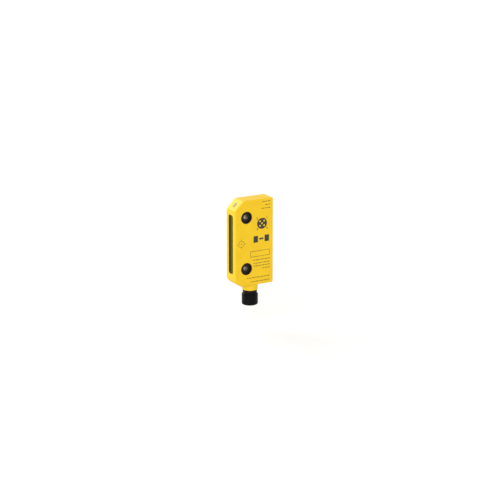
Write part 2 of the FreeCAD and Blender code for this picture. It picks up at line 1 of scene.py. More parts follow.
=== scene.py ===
# %% [markdown]
# # Dressing a non-contact safety sensor
# The sensor is a flat yellow moulding with two screw holes, a lamp in its cut corner and a round plug
# connector below it. Its solids come from a CAD model and are never moved. This lesson adds what solids
# don't have: a finish for every piece, the screw thread of the connector, the skin of the cast filling and
# the printed marks.

# %% Load the solids
import math
import bmesh
import bpy
from mathutils import Matrix, Vector


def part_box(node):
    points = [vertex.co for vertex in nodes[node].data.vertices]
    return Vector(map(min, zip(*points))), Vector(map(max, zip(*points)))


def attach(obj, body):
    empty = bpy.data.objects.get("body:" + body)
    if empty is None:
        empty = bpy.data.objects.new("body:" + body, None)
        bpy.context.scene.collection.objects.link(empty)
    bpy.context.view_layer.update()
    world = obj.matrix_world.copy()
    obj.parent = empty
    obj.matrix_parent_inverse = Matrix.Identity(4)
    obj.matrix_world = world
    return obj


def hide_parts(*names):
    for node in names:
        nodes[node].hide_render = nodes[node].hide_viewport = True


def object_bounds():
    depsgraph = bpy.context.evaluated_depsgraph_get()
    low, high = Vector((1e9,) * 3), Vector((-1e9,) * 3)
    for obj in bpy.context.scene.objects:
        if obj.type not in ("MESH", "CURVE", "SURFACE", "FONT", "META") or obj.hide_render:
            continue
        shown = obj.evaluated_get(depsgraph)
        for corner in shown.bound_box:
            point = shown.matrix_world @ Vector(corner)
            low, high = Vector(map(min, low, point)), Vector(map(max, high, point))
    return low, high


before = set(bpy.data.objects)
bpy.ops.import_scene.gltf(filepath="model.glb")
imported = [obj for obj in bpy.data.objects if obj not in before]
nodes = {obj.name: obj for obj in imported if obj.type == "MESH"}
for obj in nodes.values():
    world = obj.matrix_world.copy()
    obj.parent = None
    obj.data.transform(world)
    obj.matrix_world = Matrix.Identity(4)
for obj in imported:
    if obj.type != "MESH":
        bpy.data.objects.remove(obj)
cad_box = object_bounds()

MM = 0.001
scene = bpy.context.scene
print(f"{len(nodes)} solids, {[round(side / MM, 2) for side in cad_box[1] - cad_box[0]]} mm over all")

# %% [markdown]
# ## Where things are
# What the solids can tell is measured from them, so that the new pieces follow a change of the CAD model.
# The front of the housing faces -Y, its left side faces -X and the connector hangs down along -Z.

# %% Measure the solids
housing_low, housing_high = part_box("housing")
connector_low, connector_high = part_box("connector_body")
filling_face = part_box("potting_compound")[0].x
connector_axis = (connector_low + connector_high) / 2
front = housing_low.y
neck_foot = housing_low.z
middle_depth = (housing_low.y + housing_high.y) / 2
object_middle = (cad_box[0] + cad_box[1]) / 2
print(f"front at {front / MM:.2f} mm, neck ends at {neck_foot / MM:.2f} mm")

# %% [markdown]
# ## The studio floor
# The sensor is pictured on plain white. A floor could be pure light, but then nothing would ground the
# object. So it is a pale matt sheet that also glows a little for the camera and for reflections: open floor
# comes out white, and the sensor's soft shadow stays. It lies low enough for the cap to be pulled off above
# it.

# %% Lay the floor
FLOOR_GAP = 20 * MM
FLOOR_SIZE = 12.0
FLOOR_GLOW = 0.24


def hex_colour(text):
    """Linear colour of an sRGB hex value."""
    channels = [int(text[place:place + 2], 16) / 255 for place in (0, 2, 4)]
    return [c / 12.92 if c <= 0.04045 else ((c + 0.055) / 1.055) ** 2.4 for c in channels] + [1.0]


def add_node(tree, kind, inputs=None, **settings):
    """Add a node, set its properties, and set or link its inputs."""
    node = tree.nodes.new(f"ShaderNode{kind}")
    for name, setting in settings.items():
        setattr(node, name, setting)
    for name, source in (inputs or {}).items():
        if isinstance(source, bpy.types.NodeSocket):
            tree.links.new(source, node.inputs[name])
        else:
            node.inputs[name].default_value = source
    return node


def seen_directly(tree):
    """1 for rays from the camera, and for those seen in gloss or through glass."""
    path = add_node(tree, "LightPath")
    seen = path.outputs["Is Camera Ray"]
    for kind in ("Is Glossy Ray", "Is Transmission Ray"):
        seen = add_node(tree, "Math", {0: seen, 1: path.outputs[kind]}, operation="MAXIMUM").outputs[0]
    return seen


def make_floor_finish():
    """Matt white board that glows a little where it is looked at."""
    finish = bpy.data.materials.new("floor_board")
    finish.use_nodes = True
    tree = finish.node_tree
    surface = tree.nodes["Principled BSDF"]
    surface.inputs["Base Color"].default_value = hex_colour("E6E6E4")
    surface.inputs["Roughness"].default_value = 0.9
    surface.inputs["Specular IOR Level"].default_value = 0.0
    surface.inputs["Emission Color"].default_value = hex_colour("FFFFFF")
    glow = add_node(tree, "Math", {0: seen_directly(tree), 1: FLOOR_GLOW}, operation="MULTIPLY")
    tree.links.new(glow.outputs[0], surface.inputs["Emission Strength"])
    return finish


shape = bmesh.new()
bmesh.ops.create_grid(shape, x_segments=1, y_segments=1, size=FLOOR_SIZE / 2)
bmesh.ops.translate(shape, verts=shape.verts, vec=(0, 0, cad_box[0].z - FLOOR_GAP))
floor_mesh = bpy.data.meshes.new("floor")
shape.to_mesh(floor_mesh)
shape.free()
floor_mesh.materials.append(make_floor_finish())
floor = bpy.data.objects.new("floor", floor_mesh)
scene.collection.objects.link(floor)
print(f"floor {FLOOR_GAP / MM:.0f} mm under the cap")

# %% [markdown]
# ## Light
# The picture was taken in soft light from the upper left: the cut corner is the brightest face, then the
# top and the left side, and the front shows its true colour. An even white world gives most of the light. A
# wide soft lamp at the upper left of the camera models the forms, and another behind the object gives the
# cut corner and the black cap their pale sheen. Area lamps would leave a pool of light on the floor, so
# these are sun lamps, which light it evenly, made soft by a wide angle.

# %% Light the studio
WORLD_LEVEL = 0.55
LAMP_DISTANCE = 1.0
LAMP_ANGLE = math.radians(50)


def make_world():
    """Even white surroundings, plain white where they are looked at."""
    world = bpy.data.worlds.new("studio")
    world.use_nodes = True
    tree = world.node_tree
    level = add_node(tree, "MapRange", {"Value": seen_directly(tree), "To Min": WORLD_LEVEL, "To Max": 1.0})
    tree.links.new(level.outputs["Result"], tree.nodes["Background"].inputs["Strength"])
    tree.nodes["Background"].inputs["Color"].default_value = hex_colour("FFFFFF")
    return world


def add_lamp(name, direction, level):
    """Soft lamp in a direction from the object; a face square to it gains the level."""
    light = bpy.data.lights.new(name, "SUN")
    light.angle = LAMP_ANGLE
    light.energy = level * math.pi
    lamp = bpy.data.objects.new(name, light)
    away = Vector(direction).normalized()
    lamp.location = object_middle + away * LAMP_DISTANCE
    lamp.rotation_euler = away.to_track_quat("Z", "Y").to_euler()
    scene.collection.objects.link(lamp)
    return lamp


scene.world = make_world()
lamps = [
    add_lamp("key_lamp", (-0.65, -0.60, 0.47), level=0.55),
    add_lamp("back_lamp", (-0.30, 0.80, 0.50), level=0.52),
]
print(f"world at {WORLD_LEVEL}, lamps {[lamp.name for lamp in lamps]}")

# %% [markdown]
# ## Camera
# The edges of the box in the picture run almost parallel, so it was taken from far away with a long lens,
# from 30 degrees to the left and 16 degrees above. The camera aims at the middle of the body, and it is
# then moved sideways in its own plane until that point lands where the picture has it.

# %% Place the camera
CAMERA_AZIMUTH = math.radians(-29.95)
CAMERA_ELEVATION = math.radians(15.92)
CAMERA_DISTANCE = 1760.6 * MM
LENS = 154.2
SENSOR_WIDTH = 36.0
PICTURE_PIXELS = 500
AIM = Vector((8.0, -7.5, -0.25)) * MM
AIM_PIXEL = (250.80, 240.58)


def place_camera():
    """Camera that sees the aim point at its pixel."""
    data = bpy.data.cameras.new("camera")
    data.lens = LENS
    data.sensor_width = SENSOR_WIDTH
    camera = bpy.data.objects.new("camera", data)
    flat = math.cos(CAMERA_ELEVATION)
    back = Vector((math.sin(CAMERA_AZIMUTH) * flat, -math.cos(CAMERA_AZIMUTH) * flat,
                   math.sin(CAMERA_ELEVATION)))
    turn = back.to_track_quat("Z", "Y")
    pixel = CAMERA_DISTANCE * SENSOR_WIDTH / LENS / PICTURE_PIXELS
    right = turn @ Vector((1, 0, 0)) * (PICTURE_PIXELS / 2 - AIM_PIXEL[0]) * pixel
    up = turn @ Vector((0, 1, 0)) * (AIM_PIXEL[1] - PICTURE_PIXELS / 2) * pixel
    camera.location = AIM + back * CAMERA_DISTANCE + right + up
    camera.rotation_euler = turn.to_euler()
    scene.collection.objects.link(camera)
    scene.camera = camera
    return camera


camera = place_camera()
scene.view_settings.view_transform = "Standard"
print(f"camera at {[round(c, 3) for c in camera.location]} m")

# %% [markdown]
# ## A moulded finish
# Most pieces here are moulded or cast. Such a surface is never one flat colour: the colour drifts a little
# in patches where the melt flowed, and the mould gives it a fine grain that breaks up the gloss. One
# function makes that from two noise patterns, and each piece then has its own colours, sizes and gloss.
# Sizes are in millimetres, and a noise of scale 1 has features about one metre wide.

# %% Define the moulded finish
PATCH_EDGES = (0.35, 0.65)
PATCH_DETAIL = 4.0
GRAIN_DETAIL = 2.0


def make_moulded(name, dark, light, patch, grain, relief, gloss, **sockets):
    """Finish with colour patches and a grain, sized in millimetres, and a range of roughness."""
    finish = bpy.data.materials.new(name)
    finish.use_nodes = True
    tree = finish.node_tree
    place = add_node(tree, "TexCoord").outputs["Object"]
    patches = add_node(tree, "TexNoise",
                       {"Vector": place, "Scale": 1 / (patch * MM), "Detail": PATCH_DETAIL})
    colour = add_node(tree, "ValToRGB", {"Fac": patches.outputs["Fac"]})
    for stop, edge, shade in zip(colour.color_ramp.elements, PATCH_EDGES, (dark, light)):
        stop.position = edge
        stop.color = hex_colour(shade)
    grains = add_node(tree, "TexNoise",
                      {"Vector": place, "Scale": 1 / (grain * MM), "Detail": GRAIN_DETAIL})
    rough = add_node(tree, "MapRange",
                     {"Value": grains.outputs["Fac"], "To Min": gloss[0], "To Max": gloss[1]})
    bump = add_node(tree, "Bump", {"Height": grains.outputs["Fac"], "Distance": relief * MM})
    surface = tree.nodes["Principled BSDF"]
    tree.links.new(colour.outputs["Color"], surface.inputs["Base Color"])
    tree.links.new(rough.outputs["Result"], surface.inputs["Roughness"])
    tree.links.new(bump.outputs["Normal"], surface.inputs["Normal"])
    for socket, setting in sockets.items():
        surface.inputs[socket.replace("_", " ")].default_value = setting
    return finish


def dress(finish, *names):
    """Give solids a finish in place of the plain one that they came with."""
    for name in names:
        nodes[name].data.materials.clear()
        nodes[name].data.materials.append(finish)
    print(f"{finish.name}: {', '.join(names)}")


# %% [markdown]
# ## Yellow housing
# The housing is injection moulded in glass-filled PBT, coloured all through in safety yellow. Its mould was
# spark eroded, which leaves a fine even grain and a satin gloss. A real grain is about 0.1 mm wide and
# wouldn't show, so it is drawn at 0.35 mm.

# %% Dress the housing
yellow_pbt = make_moulded("yellow_pbt", "F0C200", "F4C906", patch=9.0, grain=0.35, relief=0.012,
                          gloss=(0.40, 0.56), IOR=1.5, Specular_IOR_Level=0.42)
dress(yellow_pbt, "housing")

# %% [markdown]
# ## Cast filling
# The electronics are cast into olive epoxy, which is poured in through the long opening of the left side.
# It sets with a smooth and slightly wavy skin, and its gloss is that of a dull varnish. Its colour is
# darkened
# towards the back of the opening: painted shade of the opening's rear wall, blended over the depth of the
# opening from the back to the front.

# %% Dress the cast filling
# painted shade: the dark colour at the back of the opening, and the depths over which it fades out
PAINTED_REAR_SHADE = "3A360B"
SHADE_FADE_FROM, SHADE_FADE_TO = -6.3, -8.3
# numbers of the colour sockets of a Mix node, which share their names with others
MIX_SHARE, MIX_FIRST, MIX_SECOND = 0, 6, 7
MIX_RESULT = 2

olive_epoxy = make_moulded("olive_epoxy", "5B5814", "69651E", patch=3.0, grain=1.4, relief=0.05,
                           gloss=(0.40, 0.54), IOR=1.52, Specular_IOR_Level=0.04)


def shade_by_depth(finish, shade, start, end):
    """Blend a finish from a painted shade to its own colour between two depths, in millimetres."""
    tree = finish.node_tree
    tint = tree.nodes["Principled BSDF"].inputs["Base Color"]
    place = add_node(tree, "SeparateXYZ", {"Vector": add_node(tree, "TexCoord").outputs["Object"]})
    share = add_node(tree, "MapRange",
                     {"Value": place.outputs["Y"], "From Min": start * MM, "From Max": end * MM},
                     interpolation_type="SMOOTHSTEP")
    own = tint.links[0].from_socket
    blend = add_node(tree, "Mix",
                     {MIX_SHARE: share.outputs["Result"], MIX_FIRST: hex_colour(shade), MIX_SECOND: own},
                     data_type="RGBA")
    tree.links.new(blend.outputs[MIX_RESULT], tint)


# paint shade into the filling, darkest at the back of the opening and fading towards the front
shade_by_depth(olive_epoxy, PAINTED_REAR_SHADE, SHADE_FADE_FROM, SHADE_FADE_TO)
dress(olive_epoxy, "potting_compound")

# %% [markdown]
# ## Black mouldings
# The rings round the screw holes and the plug body are black polyamide: the rings are plain and satin, and
# the plug body is glass filled and a little duller. The cap is a soft polyethylene with a waxy gloss, and
# the seal ring is rubber. One black for all would make them one lump. Gloss tells them apart more than
# colour does, so each has a range of roughness of its own.

# %% Dress the black pieces
ring_polyamide = make_moulded("ring_polyamide", "150E07", "1C140A", patch=2.0, grain=0.3, relief=0.008,
                              gloss=(0.40, 0.54), IOR=1.53, Specular_IOR_Level=0.20)
plug_polyamide = make_moulded("plug_polyamide", "0F0F0E", "171615", patch=1.2, grain=0.25, relief=0.010,
                              gloss=(0.42, 0.58), IOR=1.53, Specular_IOR_Level=0.14)
cap_polyethylene = make_moulded("cap_polyethylene", "080909", "0D0E0E", patch=4.0, grain=0.5, relief=0.010,
                                gloss=(0.34, 0.46), IOR=1.51, Specular_IOR_Level=0.07)
seal_rubber = make_moulded("seal_rubber", "121212", "181817", patch=1.0, grain=0.2, relief=0.006,
                           gloss=(0.60, 0.80), IOR=1.52)
dress(ring_polyamide, "distance_ring_upper", "distance_ring_lower")
dress(plug_polyamide, "connector_body")
dress(cap_polyethylene, "protective_cap")
dress(seal_rubber, "connector_seal")

# %% [markdown]
# ## Turned metal
# The sleeves in the screw holes are cut from nickel-plated tube and the contacts are turned brass with a
# gold plating. A lathe tool leaves fine rings round the part, which stretch every reflection along it. The
# rings are a wave along the axis of each piece: Y for the sleeves, Z for the contacts. A real feed of 0.1
# mm wouldn't show, so it is drawn at 0.3 mm. A wave of scale 1 repeats every tau / 20 metres.

# %% Dress the metal pieces
WAVE_LENGTH = math.tau / 20
FEED = 0.3
RING_RELIEF = 0.004
RING_WOBBLE = 0.4


def make_turned(name, dark, light, axis, gloss):
    """Plated metal with fine rings from turning."""
    finish = make_moulded(name, dark, light, patch=2.5, grain=0.15, relief=0.002, gloss=gloss, Metallic=1.0)
    tree = finish.node_tree
    surface = tree.nodes["Principled BSDF"]
    place = add_node(tree, "TexCoord").outputs["Object"]
    rings = add_node(tree, "TexWave",
                     {"Vector": place, "Scale": WAVE_LENGTH / (FEED * MM), "Distortion": RING_WOBBLE},
                     bands_direction=axis)
    fine = surface.inputs["Normal"].links[0].from_socket
    bump = add_node(tree, "Bump",
                    {"Height": rings.outputs["Fac"], "Distance": RING_RELIEF * MM, "Normal": fine})
    tree.links.new(bump.outputs["Normal"], surface.inputs["Normal"])
    return finish


contacts = [f"contact_pin_{number}" for number in range(1, 6)]
nickel_plate = make_turned("nickel_plate", "ABA595", "BDB7A7", axis="Y", gloss=(0.42, 0.56))
gold_plate = make_turned("gold_plate", "C79A3C", "D9B057", axis="Z", gloss=(0.18, 0.30))
dress(nickel_plate, "sleeve_upper", "sleeve_lower")
dress(gold_plate, *contacts)

# %% [markdown]
# ## Lamp
# The lamp in the cut corner is a small light pipe of milky epoxy. Unlit it looks dull against the yellow,
# because some of the light goes into it and doesn't come back. Clear glass would show the dark inside. A
# little scattering under the skin and a satin dome give the milky look.

# %% Dress the lamp
milky_epoxy = make_moulded("milky_epoxy", "A79C68", "B8AE7A", patch=1.5, grain=0.4, relief=0.002,
                           gloss=(0.30, 0.42), IOR=1.54, Specular_IOR_Level=0.20, Subsurface_Weight=0.25,
                           Subsurface_Scale=0.6 * MM)
dress(milky_epoxy, "status_lamp")

# %% [markdown]
# ## What is cast inside
# The board and its parts are hidden in the filling, but they are pieces of the model all the same, for
# anyone who takes it apart. Each gets the colour and gloss that it has on a real board. They differ in
# little else, so a table holds the finishes and a loop makes them.

# %% Dress the inner pieces
INNER_FINISHES = {
    "green_laminate": (("1D5A35", "236540"), (0.30, 0.45), ["circuit_board"]),
    "chip_epoxy": (("191919", "222221"), (0.45, 0.60),
                   ["controller_a", "controller_b", "voltage_regulator",
                    "output_transistor_a", "output_transistor_b"]),
    "tan_ceramic": (("A68A63", "B89B73"), (0.40, 0.55), ["chip_capacitors"]),
    "black_ceramic": (("24262B", "2E3036"), (0.35, 0.50), ["chip_resistors"]),
    "dark_ferrite": (("2C2B2A", "393735"), (0.55, 0.70), ["transmitter_core", "receiver_core"]),
    "brown_insulation": (("5B3A22", "694529"), (0.35, 0.50), ["lead_1"]),
    "white_insulation": (("DAD8D0", "E6E4DD"), (0.35, 0.50), ["lead_2"]),
    "blue_insulation": (("24467E", "2C5292"), (0.35, 0.50), ["lead_3"]),
    "black_insulation": (("191918", "21201F"), (0.35, 0.50), ["lead_4"]),
    "grey_insulation": (("7C7D7C", "8A8B8A"), (0.35, 0.50), ["lead_5"]),
}
for name, ((dark, light), gloss, names) in INNER_FINISHES.items():
    dress(make_moulded(name, dark, light, patch=1.5, grain=0.3, relief=0.006, gloss=gloss, IOR=1.5), *names)
copper_wire = make_turned("copper_wire", "A65A33", "BC6C40", axis="Y", gloss=(0.25, 0.40))
crystal_steel = make_turned("crystal_steel", "B4B5B4", "C6C7C6", axis="X", gloss=(0.25, 0.40))
tinned_wire = make_turned("tinned_wire", "B9BABB", "CBCCCD", axis="Z", gloss=(0.25, 0.40))
dress(copper_wire, "transmitter_coil", "receiver_coil")
dress(crystal_steel, "clock_crystal")
dress(tinned_wire, "lamp_leads")

# %% [markdown]
# ## Finishing a new piece
# Each new piece is built in a bmesh, in place and in metres. Its normals are made to point outwards, its
# smooth faces are shaded smooth up to a sharp angle, and it is tied to the body that carries it.

# %% Define the last steps of a piece
SHARP_ANGLE = math.radians(32)


def finish_piece(name, shape, finish):
    """Make an object of a bmesh, dress it and let it ride on the sensor."""
    bmesh.ops.recalc_face_normals(shape, faces=shape.faces)
    mesh = bpy.data.meshes.new(name)
    shape.to_mesh(mesh)
    shape.free()
    mesh.shade_smooth()
    mesh.set_sharp_from_angle(angle=SHARP_ANGLE)
    mesh.materials.append(finish)
    piece = bpy.data.objects.new(name, mesh)
    scene.collection.objects.link(piece)
    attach(piece, "sensor")
    print(f"{name}: {len(mesh.polygons)} faces")
    return piece


# %% [markdown]
# ## Threaded plug
# The plug under the neck has an M12 x 1 thread, five contact holes and a rib that keys the socket. The CAD
# solid is plain outside. Boolean cuts would give the thread, but slowly and with poor faces. So the section
# is spun round the axis with many rows in the threaded stretch, for the next step to shape. The depth and
# the flats are those of a metric thread.

# %% Spin the section of the plug
PITCH = 1.0 * MM
THREAD_DEPTH = 0.6134 * PITCH
CREST_FLAT = PITCH / 8
ROOT_FLAT = PITCH / 4
COLLAR = 1.3 * MM
RUN_OUT = 0.8 * MM
NOSE_CHAMFER = 0.7 * MM
STEM_RADIUS = 5.2 * MM
GROOVE_RADIUS = 4.22 * MM
GROOVE_WIDTH = 1.2 * MM
SOCKET_RADIUS = 4.4 * MM
SOCKET_DEPTH = 8.3 * MM
THREAD_COLUMNS = 144
ROWS_PER_PITCH = 16
CLOSE = 0.001 * MM

nose_radius = (connector_high.x - connector_low.x) / 2
nose_end = connector_low.z
socket_floor = nose_end + SOCKET_DEPTH
thread_head = neck_foot - COLLAR
thread_foot = nose_end + NOSE_CHAMFER
seal_low, seal_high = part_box("connector_seal")
seal_height = (seal_low.z + seal_high.z) / 2


def spin_section(points, row_counts):
    """Spin a section of (radius, height) points round the plug's axis, with edges cut into rows first."""
    shape = bmesh.new()
    corners = [shape.verts.new((radius, 0, height)) for radius, height in points]
    edges = [shape.edges.new(pair) for pair in zip(corners, corners[1:])]
    for number, rows in row_counts.items():
        bmesh.ops.subdivide_edges(shape, edges=[edges[number]], cuts=rows - 1)
    bmesh.ops.spin(shape, geom=shape.verts[:] + shape.edges[:], cent=(0, 0, 0), axis=(0, 0, 1),
                   angle=math.tau, steps=THREAD_COLUMNS, use_merge=True)
    bmesh.ops.remove_doubles(shape, verts=shape.verts, dist=CLOSE)
    return shape


groove_head, groove_foot = seal_height + GROOVE_WIDTH / 2, seal_height - GROOVE_WIDTH / 2
plug_section = [
    (SOCKET_RADIUS, socket_floor), (SOCKET_RADIUS, nose_end), (nose_radius - NOSE_CHAMFER, nose_end),
    (nose_radius, thread_foot), (nose_radius, thread_head), (nose_radius, neck_foot),
    (STEM_RADIUS, neck_foot), (STEM_RADIUS, groove_foot), (GROOVE_RADIUS, groove_foot),
    (GROOVE_RADIUS, groove_head), (STEM_RADIUS, groove_head), (STEM_RADIUS, connector_high.z),
]
CHAMFER_EDGE, THREAD_EDGE = 2, 3
thread_rows = round((thread_head - thread_foot) / PITCH * ROWS_PER_PITCH)
chamfer_rows = round(NOSE_CHAMFER / PITCH * ROWS_PER_PITCH)
plug = spin_section(plug_section, {CHAMFER_EDGE: chamfer_rows, THREAD_EDGE: thread_rows})
print(f"plug section spun, {len(plug.faces)} faces, {thread_rows} rows of thread")

# %% [markdown]
# ## Thread
# A screw thread is one groove that climbs by its pitch with every turn. It could be a profile swept along a
# helix, but that doesn't join the plug cleanly. So every point of the spun rows is moved in to the radius
# that a formula gives: its height and angle say how far it lies from the nearest crest. The thread is
# right-handed, so a crest rises as the angle grows. Its depth fades out towards the collar, as a real
# thread runs out.

# %% Cut the thread
FLANK = (PITCH - CREST_FLAT - ROOT_FLAT) / 2


def thread_radius(height, angle):
    """Radius of the thread at a height and an angle."""
    along = (height / PITCH - angle / math.tau) % 1.0
    from_crest = min(along, 1.0 - along) * PITCH
    share = min(max((from_crest - CREST_FLAT / 2) / FLANK, 0.0), 1.0)
    fade = min(max((thread_head - height) / RUN_OUT, 0.0), 1.0)
    return nose_radius - THREAD_DEPTH * share * fade


for point in plug.verts:
    radius = math.hypot(point.co.x, point.co.y)
    if nose_end + CLOSE < point.co.z < thread_head and radius > SOCKET_RADIUS + CLOSE:
        scale = min(radius, thread_radius(point.co.z, math.atan2(point.co.y, point.co.x))) / radius
        point.co.x *= scale
        point.co.y *= scale
print(f"thread of {PITCH / MM:.0f} mm pitch, {THREAD_DEPTH / MM:.2f} mm deep")

# %% [markdown]
# ## Contact holes and key
# The section left the floor of the socket and the head of the stem open. Each is filled between its rim and
# five small circles, which are then joined from level to level, so that every contact stands in its own
# hole. The key is a rib along the socket's wall, opposite to the front. It is a box whose back is sunk into
# the wall, so that no gap shows where the wall curves.

# %% Close the plug round its contacts
HOLE_CLEARANCE = 0.02 * MM
HOLE_SIDES = 24
KEY_WIDTH = 1.0 * MM
KEY_HEIGHT = 0.8 * MM
KEY_SUNK = 0.2 * MM
KEY_ROUND = 0.15 * MM
KEY_STEPS = 2
ROUND_PROFILE = 0.5


def contact_places():
    """Centre and radius of each contact's hole, measured from the plug's axis."""
    places = []
    for name in contacts:
        low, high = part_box(name)
        centre = (low + high) / 2 - connector_axis
        places.append((centre.x, centre.y, (high.x - low.x) / 2 + HOLE_CLEARANCE))
    return places


def rim_at(shape, height):
    """Open edges of a bmesh at a height."""
    return [edge for edge in shape.edges
            if edge.is_boundary and all(abs(corner.co.z - height) < CLOSE for corner in edge.verts)]


def close_with_holes(shape, height):
    """Fill the open rim at a height, leaving the contact holes; returns the edges of each hole."""
    edges = rim_at(shape, height)
    holes = []
    for x, y, radius in contact_places():
        circle = bmesh.ops.create_circle(shape, segments=HOLE_SIDES, radius=radius,
                                         matrix=Matrix.Translation((x, y, height)))
        holes.append(list({edge for corner in circle["verts"] for edge in corner.link_edges}))
    bmesh.ops.triangle_fill(shape, use_beauty=True, use_dissolve=False,
                            edges=edges + [edge for hole in holes for edge in hole])
    return holes


def add_key(shape):
    """Rib along the wall of the socket, at the back."""
    length = SOCKET_DEPTH - NOSE_CHAMFER
    size = Matrix.Diagonal((KEY_WIDTH, KEY_HEIGHT + KEY_SUNK, length, 1.0))
    middle = Vector((0, SOCKET_RADIUS + (KEY_SUNK - KEY_HEIGHT) / 2, socket_floor - length / 2))
    box = bmesh.ops.create_cube(shape, size=1.0, matrix=Matrix.Translation(middle) @ size)
    inner = [edge for edge in {edge for corner in box["verts"] for edge in corner.link_edges}
             if all(corner.co.y < middle.y for corner in edge.verts)]
    bmesh.ops.bevel(shape, geom=inner, offset=KEY_ROUND, segments=KEY_STEPS, profile=ROUND_PROFILE,
                    affect="EDGES", material=-1)


lower_holes = close_with_holes(plug, socket_floor)
upper_holes = close_with_holes(plug, connector_high.z)
for lower, upper in zip(lower_holes, upper_holes):
    bmesh.ops.bridge_loops(plug, edges=lower + upper)
add_key(plug)
bmesh.ops.translate(plug, verts=plug.verts, vec=(connector_axis.x, connector_axis.y, 0))
threaded_plug = finish_piece("threaded_plug", plug, plug_polyamide)
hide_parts("connector_body")

# %% [markdown]
# ## Skin of the filling
# Liquid epoxy climbs the walls of the opening a little before it sets. That hollow edge catches a line of
# light, and a flat CAD face has none. The skin is a thin sheet with the opening's outline, laid on the
# filling. Its front face is inset again and again, and each inset sinks less than the one before.

# %% Cast the skin
SLOT_WIDTH = 7.4 * MM
SLOT_FROM_TOP = 11.8 * MM
SLOT_LENGTH = 50.0 * MM
SLOT_CORNER = 2.0 * MM
SLOT_CORNER_STEPS = 6
WALL_GAP = 0.02 * MM
CLIMB = 0.12 * MM
CLIMB_WIDTH = 0.35 * MM
SKIN_STEPS = 7
SKIN_STEP = 0.12 * MM
SKIN_LEAST = 0.03 * MM


def climb_at(distance):
    """Height of the skin over the filling at a distance from the wall."""
    return SKIN_LEAST + CLIMB * math.exp(-distance / CLIMB_WIDTH)


def make_skin():
    """Thin sheet with a hollow edge, facing left."""
    shape = bmesh.new()
    bmesh.ops.create_grid(shape, x_segments=1, y_segments=1, size=0.5)
    size = Matrix.Diagonal((SLOT_WIDTH - 2 * WALL_GAP, SLOT_LENGTH - 2 * WALL_GAP, 1.0, 1.0))
    bmesh.ops.transform(shape, verts=shape.verts, matrix=size)
    bmesh.ops.bevel(shape, geom=shape.verts[:], offset=SLOT_CORNER, segments=SLOT_CORNER_STEPS,
                    profile=ROUND_PROFILE, affect="VERTICES", material=-1)
    raised = bmesh.ops.extrude_face_region(shape, geom=shape.faces[:])
    face = next(item for item in raised["geom"] if isinstance(item, bmesh.types.BMFace))
    bmesh.ops.translate(shape, verts=face.verts, vec=(0, 0, climb_at(0)))
    shape.normal_update()
    for step in range(SKIN_STEPS):
        drop = climb_at(step * SKIN_STEP) - climb_at((step + 1) * SKIN_STEP)
        bmesh.ops.inset_region(shape, faces=[face], thickness=SKIN_STEP, depth=-drop, use_even_offset=True)
    across = Matrix(((0, 0, -1, 0), (1, 0, 0, 0), (0, 1, 0, 0), (0, 0, 0, 1)))
    middle = Vector((filling_face, middle_depth, housing_high.z - SLOT_FROM_TOP - SLOT_LENGTH / 2))
    bmesh.ops.transform(shape, verts=shape.verts, matrix=Matrix.Translation(middle) @ across)
    return shape


finish_piece("filling_skin", make_skin(), olive_epoxy)

# %% [markdown]
# ## Printed marks
# The front carries pad-printed marks in dark ink. Here they are generic: a pin diagram of the plug, a sign
# with two blocks that face each other, lines and a field to write on, and a centre mark. Ink could be
# painted in the housing's material, but as thin raised shapes it stays sharp at any distance, and it stands
# as proud as real ink. Each mark is drawn flat in millimetres, x to the right and y up, and then stood on
# the front.

# %% Mix the ink and set the plate
INK = 0.012
LINE = 0.34
CIRCLE_SIDES = 48
CORNER_STEPS = 4
print_ink = make_moulded("print_ink", "2A261C", "353024", patch=1.0, grain=0.2, relief=0.002,
                         gloss=(0.45, 0.60), IOR=1.5)
fine_ink = make_moulded("fine_ink", "6A5716", "77631C", patch=1.0, grain=0.2, relief=0.002,
                        gloss=(0.45, 0.60), IOR=1.5)


def add_bar(shape, left, right, low, high, corner=0.0):
    """Filled rectangle, with rounded corners if asked."""
    size = Matrix.Diagonal((right - left, high - low, 1.0, 1.0))
    middle = Matrix.Translation(((left + right) / 2, (low + high) / 2, 0))
    made = bmesh.ops.create_grid(shape, x_segments=1, y_segments=1, size=0.5, matrix=middle @ size)
    if corner:
        bmesh.ops.bevel(shape, geom=made["verts"], offset=corner, segments=CORNER_STEPS,
                        profile=ROUND_PROFILE, affect="VERTICES", material=-1)


def add_circle(shape, centre, radius, filled=False):
    """Circle round a point, open or filled; returns its corners."""
    made = bmesh.ops.create_circle(shape, cap_ends=filled, segments=CIRCLE_SIDES, radius=radius,
                                   matrix=Matrix.Translation(centre))
    return made["verts"]


def print_marks(name, shape, ink):
    """Give flat marks the thickness of ink and stand them on the front face, in metres."""
    bmesh.ops.remove_doubles(shape, verts=shape.verts, dist=CLOSE / MM)
    raised = bmesh.ops.extrude_face_region(shape, geom=shape.faces[:])
    corners = [item for item in raised["geom"] if isinstance(item, bmesh.types.BMVert)]
    bmesh.ops.translate(shape, verts=corners, vec=(0, 0, INK))
    upright = Matrix(((MM, 0, 0, 0), (0, 0, -MM, front), (0, MM, 0, 0), (0, 0, 0, 1)))
    bmesh.ops.transform(shape, verts=shape.verts, matrix=upright)
    return finish_piece(name, shape, ink)


# %% [markdown]
# ## Pin diagram
# A fitter has to know which contact is which, so the diagram shows the plug from its mating side: a dark
# face with its key and five open dots, and the numbers of the outer contacts round it. The face could be
# cut from a solid disc, but a fill between all the circles leaves the dots open in one step.

# %% Print the pin diagram
DIAGRAM = Vector((14.6, 15.3, 0))
DIAGRAM_RADIUS = 4.7
KEY_NOTCH = 0.9
DOT_CIRCLE = 2.75
DOT_RADIUS = 0.75
DIGIT_HEIGHT = 2.8
DIGIT_WEIGHT = 0.05
DIGIT_CIRCLE = 6.5
PIN_ANGLES = (45, 135, 225, 315)


